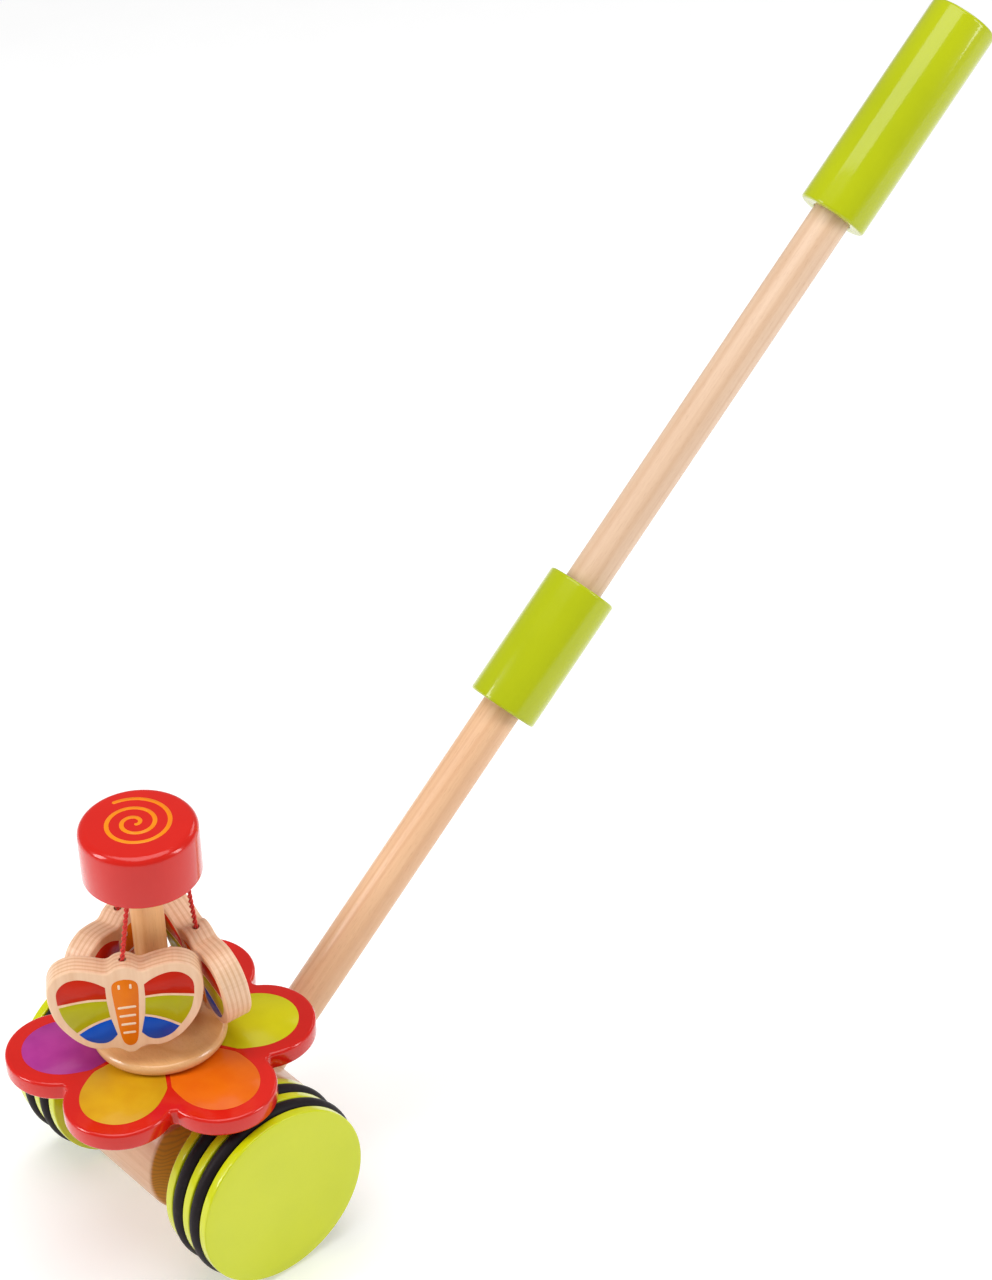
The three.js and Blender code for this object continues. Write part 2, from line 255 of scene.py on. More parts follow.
def wood(name, along, pale, tan, dark, pith, ring_scale, gloss=0.32, coat=0.25, end=None):
    """Lacquered solid wood: growth rings round a line beside the piece, stretched along
    the grain, with fine pores and slow changes of tone. along is 0, 1 or 2 for X, Y or Z."""
    tree = Tree(name)
    stretch = [1.0, 1.0, 1.0]
    stretch[along] = 0.055
    sides = [0.0, 0.0, 0.0]
    others = [i for i in range(3) if i != along]
    sides[others[0]], sides[others[1]] = pith
    warp = tree.noise(tree.coords(stretch), 26, 2.0, 0.5)
    shifted = tree.add("ShaderNodeVectorMath", {
        0: tree.coords(stretch, sides),
        1: tree.add("ShaderNodeCombineXYZ", {
            "X": tree.math("MULTIPLY", warp, 0.022),
            "Y": tree.math("MULTIPLY", warp, 0.015),
            "Z": tree.math("MULTIPLY", warp, 0.022)}).outputs[0]}, operation="ADD").outputs[0]
    axis_name = "XYZ"[along]
    rings = tree.add("ShaderNodeTexWave", {
        "Vector": shifted, "Scale": ring_scale, "Distortion": 1.2,
        "Detail": 2.0, "Detail Scale": 1.4, "Detail Roughness": 0.55},
        wave_type="RINGS", rings_direction=axis_name, wave_profile="SIN").outputs["Fac"]
    streak_stretch = [900.0, 900.0, 900.0]
    streak_stretch[along] = 22.0
    streaks = tree.noise(tree.coords(streak_stretch), 1.0, 4.0, 0.62)
    pore_stretch = [3600.0, 3600.0, 3600.0]
    pore_stretch[along] = 260.0
    pores = tree.noise(tree.coords(pore_stretch), 1.0, 1.0, 0.5)
    pore_mask = tree.span(pores, 0.60, 0.74, 0.0, 1.0)
    slow = tree.noise(tree.coords((14, 14, 14)), 1.0, 2.0)
    tone = tree.mix(tree.span(rings, 0.6, 1.0, 0.0, 0.5), pale, tan)
    tone = tree.mix(tree.span(streaks, 0.42, 0.72, 0.0, 0.45), tone, tan)
    tone = tree.mix(tree.span(slow, 0.35, 0.7, 0.0, 0.35), tone, tan)
    tone = tree.mix(tree.math("MULTIPLY", pore_mask, 0.22), tone, dark)
    # End faces across the grain take a darker brown: partly the real end grain, partly painted shade for an
    # end face that sits in shadow.
    if end is not None:
        facing = tree.add("ShaderNodeSeparateXYZ", {
            "Vector": tree.add("ShaderNodeTexCoord").outputs["Normal"]}).outputs["XYZ"[along]]
        end_rings = tree.add("ShaderNodeTexWave", {
            "Vector": shifted, "Scale": ring_scale * 3, "Distortion": 0.5},
            wave_type="RINGS", rings_direction=axis_name, wave_profile="SIN").outputs["Fac"]
        end_grain_and_shade_tone = tree.mix(tree.span(end_rings, 0.4, 1.0, 0.0, 0.4), end, dark)
        tone = tree.mix(tree.span(tree.math("ABSOLUTE", facing), 0.6, 0.95, 0.0, 1.0), tone, end_grain_and_shade_tone)
    fibre_height = tree.math("MULTIPLY", streaks, 0.5)
    height = tree.math("SUBTRACT", fibre_height, tree.math("MULTIPLY", pore_mask, 0.6))
    tree.bump(height, 0.12, 0.0003)
    rough = tree.span(streaks, 0.3, 0.7, gloss, gloss + 0.14)
    return tree.set(Base_Color=tone, Roughness=rough, Coat_Weight=coat, Coat_Roughness=0.22)


def plywood(name):
    """Pale birch plywood: plies across the local Z axis show on the edges only."""
    tree = Tree(name)
    source = tree.add("ShaderNodeTexCoord").outputs["Object"]
    split = tree.add("ShaderNodeSeparateXYZ", {"Vector": source})
    depth = split.outputs["Z"]
    wobble = tree.noise(tree.coords((60, 60, 200)), 1.0, 2.0)
    shifted = tree.math("ADD", depth, tree.math("MULTIPLY", wobble, 0.0007))
    plies = tree.math("SINE", tree.math("MULTIPLY", shifted, 2 * math.pi / 0.0023))
    fine = tree.math("SINE", tree.math("MULTIPLY", shifted, 2 * math.pi / 0.00085))
    ply_tone = tree.ramp(tree.span(plies, -1, 1, 0, 1), [
        (0.0, srgb(222, 176, 136)), (0.3, srgb(234, 192, 154)), (1.0, srgb(242, 204, 170))])
    glue = tree.math("MULTIPLY", tree.span(fine, 0.7, 1.0, 0.0, 1.0), 0.3)
    ply_tone = tree.mix(glue, ply_tone, srgb(192, 138, 98))
    fibres = tree.noise(tree.coords((900, 900, 60)), 1.0, 3.0)
    ply_tone = tree.mix(tree.span(fibres, 0.45, 0.75, 0.0, 0.3), ply_tone, srgb(206, 156, 114))
    veneer_noise = tree.noise(tree.coords((260, 24, 260)), 1.0, 4.0, 0.6)
    veneer_mix = tree.span(veneer_noise, 0.35, 0.7, 0.0, 1.0)
    veneer = tree.mix(veneer_mix, srgb(244, 204, 168), srgb(234, 188, 148))
    flat = tree.span(tree.math("ABSOLUTE", depth), 0.0050, 0.0054, 0.0, 1.0)
    tone = tree.mix(flat, ply_tone, veneer)
    height = tree.math("ADD", tree.math("MULTIPLY", plies, tree.math("SUBTRACT", 1.0, flat)), fibres)
    tree.bump(height, 0.12, 0.00025)
    return tree.set(Base_Color=tone, Roughness=tree.span(fibres, 0.3, 0.7, 0.38, 0.52),
                    Coat_Weight=0.15, Coat_Roughness=0.3)


def lacquer(name, color, deep, rough=0.16):
    """Glossy paint on turned wood: faint brushing, orange peel and a hint of grain."""
    tree = Tree(name)
    cloud = tree.noise(tree.coords((24, 24, 24)), 1.0, 3.0)
    grain = tree.noise(tree.coords((420, 420, 30)), 1.0, 3.0)
    peel = tree.noise(tree.coords((520, 520, 520)), 1.0, 1.5)
    tone = tree.mix(tree.span(cloud, 0.3, 0.75, 0.0, 0.55), color, deep)
    tone = tree.mix(tree.span(grain, 0.5, 0.8, 0.0, 0.14), tone, deep)
    height = tree.math("ADD", tree.math("MULTIPLY", peel, 0.6), tree.math("MULTIPLY", grain, 0.5))
    tree.bump(height, 0.05, 0.0004)
    smear = tree.noise(tree.coords((60, 60, 60)), 1.0, 2.0)
    return tree.set(Base_Color=tone, Roughness=tree.span(smear, 0.3, 0.7, rough, rough + 0.09),
                    Coat_Weight=0.6, Coat_Roughness=0.06, Coat_IOR=1.45, Specular_IOR_Level=0.2)


def print_ink(name, color, deep, rough=0.28):
    """Screen-printed ink under lacquer, a little uneven where it was pulled."""
    tree = Tree(name)
    cloud = tree.noise(tree.coords((70, 70, 70)), 1.0, 3.0)
    mesh = tree.noise(tree.coords((1500, 1500, 1500)), 1.0, 1.0)
    tone = tree.mix(tree.span(cloud, 0.3, 0.75, 0.0, 0.8), color, deep)
    tree.bump(mesh, 0.04, 0.0002)
    return tree.set(Base_Color=tone, Roughness=tree.span(mesh, 0.3, 0.7, rough, rough + 0.08),
                    Coat_Weight=0.2, Coat_Roughness=0.12, Coat_IOR=1.35, Specular_IOR_Level=0.12)


def rubber(name):
    tree = Tree(name)
    cloud = tree.noise(tree.coords((90, 90, 90)), 1.0, 3.0)
    fine = tree.noise(tree.coords((1400, 1400, 1400)), 1.0, 2.0)
    dust = tree.span(tree.noise(tree.coords((260, 260, 260)), 1.0, 4.0), 0.55, 0.8, 0.0, 0.5)
    tone = tree.mix(cloud, srgb(22, 16, 19), srgb(34, 26, 30))
    tone = tree.mix(dust, tone, srgb(54, 46, 50))
    tree.bump(fine, 0.25, 0.0003)
    return tree.set(Base_Color=tone, Roughness=tree.span(cloud, 0.3, 0.7, 0.42, 0.58),
                    Specular_IOR_Level=0.15)


def thread(name):
    tree = Tree(name)
    fibre = tree.noise(tree.coords((2600, 2600, 900)), 1.0, 3.0)
    tone = tree.mix(fibre, srgb(196, 26, 20), srgb(232, 52, 38))
    tree.bump(fibre, 0.5, 0.0002)
    return tree.set(Base_Color=tone, Roughness=0.75, Sheen_Weight=0.35, Sheen_Roughness=0.4)


def metal(name):
    tree = Tree(name)
    scratch = tree.noise(tree.coords((40, 900, 900)), 1.0, 2.0)
    tone = tree.mix(scratch, (0.45, 0.45, 0.47, 1), (0.62, 0.62, 0.64, 1))
    tree.bump(scratch, 0.1, 0.0002)
    return tree.set(Base_Color=tone, Roughness=tree.span(scratch, 0.3, 0.7, 0.25, 0.4), Metallic=1.0)


# ---- Mesh helpers -----------------------------------------------------------------------


def mesh_object(name, vertices, faces, material, place=None):
    mesh = bpy.data.meshes.new(name)
    mesh.from_pydata([tuple(v) for v in vertices], [], faces)
    mesh.update()
    work = bmesh.new()
    work.from_mesh(mesh)
    bmesh.ops.remove_doubles(work, verts=work.verts, dist=1e-7)
    bmesh.ops.recalc_face_normals(work, faces=work.faces)
    work.to_mesh(mesh)
    work.free()
    for polygon in mesh.polygons:
        polygon.use_smooth = True
    mesh.materials.append(material)
    made = bpy.data.objects.new(name, mesh)
    bpy.context.scene.collection.objects.link(made)
    if place is not None:
        made.matrix_world = place
    return made


def finish_piece(piece, body, slot, *nodes):
    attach(piece, body)
    if nodes:
        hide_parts(*nodes)


def sharpen(piece, degrees):
    """Keeps hard edges hard under smooth shading, by marking them sharp."""
    work = bmesh.new()
    work.from_mesh(piece.data)
    limit = math.radians(degrees)
    for edge in work.edges:
        if len(edge.link_faces) == 2 and edge.calc_face_angle() > limit:
            edge.smooth = False
    work.to_mesh(piece.data)
    work.free()


def revolve(name, profile, material, place, sides, closed=False):
    """A turned piece about its own Z axis, from (radius, height) points in millimetres.
    An open profile starts and ends on the axis."""
    vertices, faces, rows = [], [], []
    for radius, height in profile:
        if radius < 1e-6:
            rows.append([len(vertices)])
            vertices.append((0, 0, height * MM))
            continue
        row = []
        for i in range(sides):
            angle = 2 * math.pi * i / sides
            row.append(len(vertices))
            vertices.append((radius * MM * math.cos(angle), radius * MM * math.sin(angle), height * MM))
        rows.append(row)
    pairs = list(zip(rows, rows[1:]))
    if closed:
        pairs.append((rows[-1], rows[0]))
    for low, high in pairs:
        if len(low) == len(high) == 1:
            continue
        for i in range(sides):
            j = (i + 1) % sides
            if len(low) == 1:
                faces.append((low[0], high[j], high[i]))
            elif len(high) == 1:
                faces.append((low[i], low[j], high[0]))
            else:
                faces.append((low[i], low[j], high[j], high[i]))
    made = mesh_object(name, vertices, faces, material, place=place)
    sharpen(made, 35)
    return made


def arc(centre_r, centre_z, radius, start, end, steps=6):
    """Points of a circle in a profile; angles in degrees, 0 outward and 90 up."""
    points = []
    for i in range(steps + 1):
        angle = math.radians(start + (end - start) * i / steps)
        points.append((centre_r + radius * math.cos(angle), centre_z + radius * math.sin(angle)))
    return points


def tube_profile(outer, inner, low, high, edge, inner_edge=0.5):
    """Closed profile of a tube with rounded outer edges."""
    return [
        *arc(outer - edge, low + edge, edge, -90, 0),
        *arc(outer - edge, high - edge, edge, 0, 90),
        *arc(inner + inner_edge, high - inner_edge, inner_edge, 90, 180, 3),
        *arc(inner + inner_edge, low + inner_edge, inner_edge, 180, 270, 3),
    ]


def outward(points):
    """Unit normals of a closed outline that runs counterclockwise."""
    count = len(points)
    normals = []
    for i in range(count):
        ahead, behind = Vector(points[(i + 1) % count]), Vector(points[i - 1])
        along = (ahead - behind).normalized()
        normals.append(Vector((along.y, -along.x)))
    return normals


def slab(name, outline, low, high, edge, material, place, edge_steps, sharp):
    """A flat piece between two heights, with its edges rounded, from a counterclockwise
    outline in millimetres."""
    normals = outward(outline)
    layers = []
    for i in range(edge_steps + 1):
        angle = math.radians(90 * i / edge_steps)
        layers.append((edge * (1 - math.sin(angle)), low + edge * (1 - math.cos(angle))))
    for i in range(edge_steps + 1):
        angle = math.radians(90 * i / edge_steps)
        layers.append((edge * (1 - math.cos(angle)), high - edge * (1 - math.sin(angle))))
    count = len(outline)
    vertices, faces = [], []
    for inset, height in layers:
        for point, normal in zip(outline, normals):
            spot = Vector(point) - normal * inset
            vertices.append((spot.x * MM, spot.y * MM, height * MM))
    for row in range(len(layers) - 1):
        for i in range(count):
            j = (i + 1) % count
            base = row * count
            faces.append((base + i, base + j, base + count + j, base + count + i))
    faces.append(tuple(range(count - 1, -1, -1)))
    top = (len(layers) - 1) * count
    faces.append(tuple(top + i for i in range(count)))
    made = mesh_object(name, vertices, faces, material, place=place)
    sharpen(made, sharp)
    return made


def drill(piece, radius, start, end, sides):
    """Cuts a round hole between two points, in metres in the world."""
    axis = Vector(end) - Vector(start)
    reach = axis.length / MM
    bit = revolve("bit", [(0, 0), (radius, 0), (radius, reach), (0, reach)], piece.data.materials[0],
                  Matrix.Translation(start) @ axis.to_track_quat("Z", "Y").to_matrix().to_4x4(), sides)
    cut = piece.modifiers.new("drill", "BOOLEAN")
    cut.operation = "DIFFERENCE"
    cut.solver = "EXACT"
    cut.object = bit
    bpy.context.view_layer.update()
    graph = bpy.context.evaluated_depsgraph_get()
    drilled = bpy.data.meshes.new_from_object(piece.evaluated_get(graph))
    piece.modifiers.remove(cut)
    piece.data = drilled
    bpy.data.objects.remove(bit)
    sharpen(piece, 40)


def catmull_rom(p0, p1, p2, p3, steps):
    """Points of a smooth curve from p1 up to p2, without p2."""
    out = []
    for s in range(steps):
        t = s / steps
        out.append(tuple(0.5 * (
            2 * p1 + (p2 - p0) * t + (2 * p0 - 5 * p1 + 4 * p2 - p3) * t * t
            + (3 * p1 - p0 - 3 * p2 + p3) * t ** 3)))
    return out


def smooth_loop(points, steps):
    """Closed smooth curve through points, as a denser list of points."""
    count = len(points)
    out = []
    for i in range(count):
        out += catmull_rom(*(Vector(points[(i + k) % count]) for k in (-1, 0, 1, 2)), steps)
    return out


def smooth_line(points, steps=6):
    """Open smooth curve through points, ends included."""
    ends = [Vector(points[0]) * 2 - Vector(points[1]), *map(Vector, points),
            Vector(points[-1]) * 2 - Vector(points[-2])]
    out = []
    for i in range(1, len(ends) - 2):
        out += catmull_rom(*ends[i - 1:i + 3], steps)
    out.append(tuple(points[-1]))
    return out


def printed(name, outline, height, material, place, body, slot, flip=False):
    """A thin layer of ink with the given outline, just off a face at that height."""
    area = sum(a[0] * b[1] - b[0] * a[1] for a, b in zip(outline, outline[1:] + outline[:1]))
    if area < 0:
        outline = outline[::-1]
    low, high = (height, height + PRINT_LIFT) if not flip else (-height - PRINT_LIFT, -height)
    made = slab(name, outline, low, high, 0.02, material, place, edge_steps=1, sharp=80)
    finish_piece(made, body, slot)


# ---- Frames of reference ----------------------------------------------------------------
UPRIGHT = Matrix.Translation(HUB_POINT)
ALONG_HANDLE = Matrix.Translation(from_hub(0, HANDLE["foot"], 0)) @ Matrix.Rotation(
    HANDLE["angle"] - math.pi / 2, 4, "X")
WHEEL_CENTRE = Vector((HUB_POINT.x, AXLE.y, AXLE.z))


def wheel_frame(sign):
    return Matrix.Translation(WHEEL_CENTRE + Vector((sign * WHEEL["inner"] * MM, 0, 0))) @ Matrix.Rotation(
        sign * math.pi / 2, 4, "Y")


# ---- Material set -----------------------------------------------------------------------
def make_materials():
    rod = (srgb(237, 193, 152), srgb(220, 168, 126), srgb(170, 112, 74))
    warm = (srgb(243, 192, 132), srgb(228, 168, 106), srgb(166, 104, 58))
    body = (srgb(212, 170, 135), srgb(196, 148, 110), srgb(146, 94, 60))
    upper = (srgb(229, 196, 166), srgb(212, 172, 138), srgb(168, 118, 84))
    return {
        # The block's end faces get a darker brown, partly for its end grain and partly as painted shade.
        "block": wood("wood_block", 0, *body, pith=(0.06, 0.09), ring_scale=60, end=srgb(210, 134, 60)),
        "rod_low": wood("wood_rod_lower", 2, *rod, pith=(0.05, 0.03), ring_scale=75),
        "rod_high": wood("wood_rod_upper", 2, *upper, pith=(-0.04, 0.05), ring_scale=75),
        "hub": wood("wood_hub", 0, *warm, pith=(0.03, 0.10), ring_scale=70, gloss=0.16, coat=0.6),
        "post": wood("wood_post", 2, *warm, pith=(0.02, 0.03), ring_scale=80),
        "ply": plywood("plywood"),
        "lime": lacquer("lime_lacquer", srgb(182, 192, 6), srgb(166, 178, 3)),
        # The wheels take a lighter copy of the lime lacquer: painted light for their brightly lit faces.
        # The collar and grip keep the plain lime.
        "lime_wheels_painted_lit": lacquer("lime_lacquer_wheels_painted_lit", srgb(206, 213, 10), srgb(192, 202, 5)),
        "red": lacquer("red_lacquer", srgb(214, 30, 16), srgb(196, 18, 12)),
        "rubber": rubber("black_rubber"),
        "cord": thread("red_thread"),
        "steel": metal("plain_steel"),
        "plastic": plain("grey_plastic", (0.6, 0.6, 0.58), 0.45),
    }


# ---- Body block -------------------------------------------------------------------------


def block_outline():
    b, h = BLOCK, HANDLE
    cosine, sine = math.cos(h["angle"]), math.sin(h["angle"])
    bottom = b["front_z"] - b["front_r"]
    top_angle = 180 - math.degrees(math.asin((b["top"] - b["front_z"]) / b["front_r"]))
    face_y, face_z = h["foot"] + cosine * h["face"], sine * h["face"]

    def on_face(z):
        return face_y + (face_z - z) * sine / cosine, z

    top_y, _ = on_face(b["top"])
    rear_z = bottom + b["rear_r"]
    low_y, _ = on_face(rear_z + b["rear_r"] * sine)
    rear_y = low_y - b["rear_r"] * cosine
    outline = [(top_y, b["top"])]
    outline += arc(b["front_y"], b["front_z"], b["front_r"], top_angle, 270, 40)
    outline += arc(rear_y, rear_z, b["rear_r"], -90, math.degrees(h["angle"]), 36)
    return outline


def refine(outline, longest=4.0):
    """The same outline with its long straight stretches divided."""
    out = []
    for a, b in zip(outline, outline[1:] + outline[:1]):
        a, b = Vector(a), Vector(b)
        parts = max(1, int((b - a).length / longest))
        out += [tuple(a.lerp(b, i / parts)) for i in range(parts)]
    return out


def make_block(materials):
    sweep = Matrix((
        (0, 0, 1, HUB_POINT.x), (1, 0, 0, HUB_POINT.y), (0, 1, 0, HUB_POINT.z), (0, 0, 0, 1)))
    half = BLOCK["half"]
    outline = refine(block_outline())
    made = slab("body", outline, -half, half, BLOCK["edge"], materials["block"], sweep, 4, 30)
    # The grain texture reads the object's own axes, so its mesh is put straight in the frame.
    made.data.transform(Matrix.Translation(-HUB_POINT) @ sweep)
    made.matrix_world = UPRIGHT
    axis = ALONG_HANDLE.to_3x3() @ Vector((0, 0, 1))
    foot = from_hub(0, HANDLE["foot"], 0)
    drill(made, HANDLE["socket"], foot + axis * (HANDLE["start"] - FIT_GAP) * MM, foot + axis * 60 * MM, 64)
    axle_y = AXLE.y / MM - HUB_POINT.y / MM
    drill(made, AXLE_HOLE, from_hub(-40, axle_y, 0), from_hub(40, axle_y, 0), 40)
    drill(made, PIN["block_hole"], from_hub(0, 0, 7.7), from_hub(0, 0, 40), 32)
    finish_piece(made, "frame", "natural_wood", "body_block")


# ---- Wheels -----------------------------------------------------------------------------


def wheel_profile():
    w = WHEEL
    pitch = w["disc"] + w["groove"]
    edge = w["edge"]
    profile = [(0, 0)]
    for index in range(3):
        start = index * pitch
        if index:
            profile += arc(w["floor"] + 0.5, start - 0.5, 0.5, 180, 90, 2)
        profile += arc(w["radius"] - edge, start + edge, edge, -90, 0)
        profile += arc(w["radius"] - edge, start + w["disc"] - edge, edge, 0, 90)
        if index < 2:
            profile += arc(w["floor"] + 0.5, start + w["disc"] + 0.5, 0.5, 270, 180, 2)
    width = 3 * w["disc"] + 2 * w["groove"]
    # The outer face is very slightly dished by the lathe, to nothing at its rim.
    for radius in (34, 26, 18, 10, 4):
        profile.append((radius, width - 0.12 * (1 - (radius / 40) ** 2)))
    profile.append((0, width - 0.12))
    return profile


def make_wheels(materials):
    pitch = WHEEL["disc"] + WHEEL["groove"]
    for side, sign in (("right", 1), ("left", -1)):
        place = wheel_frame(sign)
        # The wheels use the lighter lime copy, which carries painted light.
        made = revolve(f"wheel_turned_{side}", wheel_profile(), materials["lime_wheels_painted_lit"], place, 160)
        finish_piece(made, "wheel_set", "lime_paint", f"wheel_{side}")
        for index, where in enumerate(("inner", "outer")):
            middle = WHEEL["disc"] + WHEEL["groove"] / 2 + index * pitch
            loop = arc(RING["radius"], middle, RING["section"], 0, 360, 28)[:-1]
            band = revolve(f"ring_{side}_{where}", loop, materials["rubber"], place, 160, closed=True)
            finish_piece(band, "wheel_set", "black_rubber", f"rubber_ring_{side}_{where}")
        low, high = (corner.x / MM - WHEEL["inner"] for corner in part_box("axle_spacer_right"))
        tube = tube_profile(SPACER["radius"], AXLE_HOLE, low, high, SPACER["edge"])
        sleeve = revolve(f"spacer_{side}", tube, materials["post"], place, 64, closed=True)
        finish_piece(sleeve, "wheel_set", "natural_wood", f"axle_spacer_{side}")


# ---- Handle -----------------------------------------------------------------------------


def solid_rod(radius, low, high, edge):
    foot = arc(radius - edge, low + edge, edge, -90, 0)
    head = arc(radius - edge, high - edge, edge, 0, 90)
    return [(0, low), *foot, *head, (0, high)]


def make_handle(materials):
    h = HANDLE
    for name, low, high, look, node in (
        ("rod_lower", h["start"], h["joint"] - FIT_GAP / 2, "rod_low", "handle_rod_lower"),
        ("rod_upper", h["joint"] + FIT_GAP / 2, h["rod_end"], "rod_high", "handle_rod_upper"),
    ):
        rod = revolve(name, solid_rod(h["rod"], low, high, 0.8), materials[look], ALONG_HANDLE, 72)
        finish_piece(rod, "frame", "natural_wood", node)
    low, high = h["collar"]
    collar = revolve("collar", tube_profile(h["collar_r"], h["socket"], low, high, 1.3),
                     materials["lime"], ALONG_HANDLE, 96, closed=True)
    finish_piece(collar, "frame", "lime_paint", "handle_collar")
    low, high = h["grip"]
    edge, top_edge, r, s = 1.3, 2.0, h["grip_r"], h["socket"]
    inside = h["rod_end"] + FIT_GAP
    profile = [
        (0, inside), (s, inside), *arc(s + 0.5, low + 0.5, 0.5, 180, 270, 3),
        *arc(r - edge, low + edge, edge, -90, 0), *arc(r - top_edge, high - top_edge, top_edge, 0, 90, 8),
        (r * 0.5, high), (0, high),
    ]
    grip = revolve("grip", profile, materials["lime"], ALONG_HANDLE, 96)
    finish_piece(grip, "frame", "lime_paint", "handle_grip")


# ---- Flower, hub, post and cap ----------------------------------------------------------


def flower_outline():
    """Six round petals with their notches filleted."""
    f = FLOWER
    notch, radius, centre = f["notch"], f["petal_r"], f["petal_c"]
    # The fillet circle touches two petals from outside, on the line between them.
    reach = radius + notch
    half = math.radians(30)
    along = centre * math.cos(half) + math.sqrt(reach ** 2 - (centre * math.sin(half)) ** 2)
    to_fillet = math.atan2(along * math.sin(half), along * math.cos(half) - centre)
    limit = math.degrees(to_fillet)
    outline = []
    for i in range(6):
        turn = math.radians(60 * i)
        points = arc(centre, 0, radius, -limit, limit, 34)
        start = math.degrees(math.pi + to_fillet)
        corner = (along * math.cos(half), along * math.sin(half))
        end = 420 - start
        points += arc(corner[0], corner[1], notch, start, end, 8)[1:-1]
        cosine, sine = math.cos(turn), math.sin(turn)
        outline += [(x * cosine - y * sine, x * sine + y * cosine) for x, y in points]
    return outline


PETAL_PRINTS = [
    ("orange", (234, 114, 12), (224, 94, 8)),
    ("lime", (216, 208, 18), (204, 196, 10)),
    ("sky", (92, 184, 228), (66, 160, 214)),
    ("blue", (10, 76, 164), (6, 60, 144)),
    ("purple", (184, 66, 152), (160, 40, 134)),
    ("yellow", (222, 172, 26), (206, 146, 18)),
]


def petal_print_outline():
    """An egg with its narrow end at the hub, kept clear of the line between two petals."""
    middle, out_reach, in_reach, half_width, gap = 39.5, 19.4, 34.0, 17.4, 1.1
    side = []
    for i in range(49):
        angle = math.pi * i / 48
        x = middle + (out_reach if angle < math.pi / 2 else in_reach) * math.cos(angle)
        y = half_width * math.sin(angle) ** 0.96
        if x < 21:
            break
        side.append((x, min(y, x * math.tan(math.radians(30)) - gap)))
    return side + [(x, -y) for x, y in side[::-1] if y > 1e-6]


def make_flower(materials):
    f = FLOWER
    top = f["bottom"] + f["thick"]
    disc = slab("flower", flower_outline(), f["bottom"], top, 1.5, materials["red"], UPRIGHT, 6, 50)
    drill(disc, POST["hole"], from_hub(0, 0, f["bottom"] - 2), from_hub(0, 0, top + 2), 64)
    finish_piece(disc, "flower", "red_paint", "flower_disc")
    for index, (name, color, deep) in enumerate(PETAL_PRINTS):
        ink = print_ink(f"ink_petal_{name}", srgb(*color), srgb(*deep))
        place = UPRIGHT @ Matrix.Rotation(math.radians(60 * index), 4, "Z")
        printed(f"petal_{name}", petal_print_outline(), top, ink, place, "flower", "red_paint")


def make_hub(materials):
    bottom = FLOWER["bottom"] + FLOWER["thick"] + FIT_GAP
    h = HUB
    half = h["rim"] / 2
    top = bottom + h["rise"]
    rim_top = bottom + h["rim"]
    profile = [(POST["hole"], bottom)]
    profile += arc(h["radius"] - half, bottom + half, half, -90, 70, 14)
    profile += [(h["radius"] - 4.6, rim_top - 0.25), (h["radius"] - 6.4, rim_top + 0.1),
                (h["radius"] * 0.66, rim_top + 1.3), (h["radius"] * 0.52, top - 1.1),
                (h["radius"] * 0.4, top - 0.35), (POST["hole"] + 0.6, top), (POST["hole"], top - 0.5)]
    made = revolve("hub_turned", profile, materials["hub"], UPRIGHT, 128, closed=True)
    finish_piece(made, "flower", "natural_wood", "hub")


def make_post(materials):
    hole, depth = PIN["post_hole"], PIN["post_depth"]
    profile = [(hole, FLOWER["bottom"]), (POST["radius"], FLOWER["bottom"]),
               (POST["radius"], POST["top"]), (0, POST["top"]), (0, depth), (hole, depth)]
    made = revolve("post_turned", profile, materials["post"], UPRIGHT, 64, closed=True)
    finish_piece(made, "flower", "natural_wood", "post")


def spiral_outline():
    """A ribbon along an Archimedean spiral, with round ends."""
    pitch, turns, start_r, half_width = 6.2, 2.47, 1.3, 0.95
    end_bearing = 174
    centre = Vector((-1.1, -0.6))
    steps = 190
    inner, outer = [], []
    for i in range(steps + 1):
        swept = turns * 360 * i / steps
        bearing = math.radians(end_bearing - turns * 360 + swept)
        radius = start_r + pitch * swept / 360
        direction = Vector((math.cos(bearing), math.sin(bearing)))
        inner.append(centre + direction * (radius - half_width))
        outer.append(centre + direction * (radius + half_width))

    def end_cap(a, b, count=6):
        middle = (a + b) / 2
        arm = a - middle
        return [middle + Matrix.Rotation(math.pi * k / count, 2) @ arm for k in range(1, count)]

    tail = end_cap(outer[-1], inner[-1])
    head = end_cap(inner[0], outer[0])
    return [tuple(p) for p in outer + tail + inner[::-1] + head]


def make_cap(materials):
    c = CAP
    top = c["bottom"] + c["height"]
    low_edge, socket_top = c["bottom_edge"], POST["top"] + FIT_GAP
    profile = [(POST["hole"], c["bottom"])]
    profile += arc(c["radius"] - low_edge, c["bottom"] + low_edge, low_edge, -90, 0)
    profile += arc(c["radius"] - c["top_edge"], top - c["top_edge"], c["top_edge"], 0, 90, 10)
    profile += [(c["radius"] * 0.6, top), (0, top), (0, socket_top), (POST["hole"], socket_top)]
    made = revolve("cap_turned", profile, materials["red"], UPRIGHT, 128, closed=True)
    finish_piece(made, "flower", "red_paint", "cap")
    for hanging in HANGINGS.values():
        mouth = bearing_point(hanging["hole"], c["cord_circle"], c["bottom"])
        start = mouth - Vector((0, 0, 3 * MM))
        drill(made, c["cord_hole"], start, mouth + Vector((0, 0, c["hole_depth"] * MM)), 24)
    ink = print_ink("ink_spiral", srgb(244, 146, 22), srgb(234, 122, 16))
    printed("spiral", spiral_outline(), top, ink, UPRIGHT, "flower", "red_paint")


# ---- Butterflies and cords --------------------------------------------------------------


def bearing_point(bearing, radius, z):
    angle = math.radians(bearing)
    return from_hub(radius * math.cos(angle), radius * math.sin(angle), z)


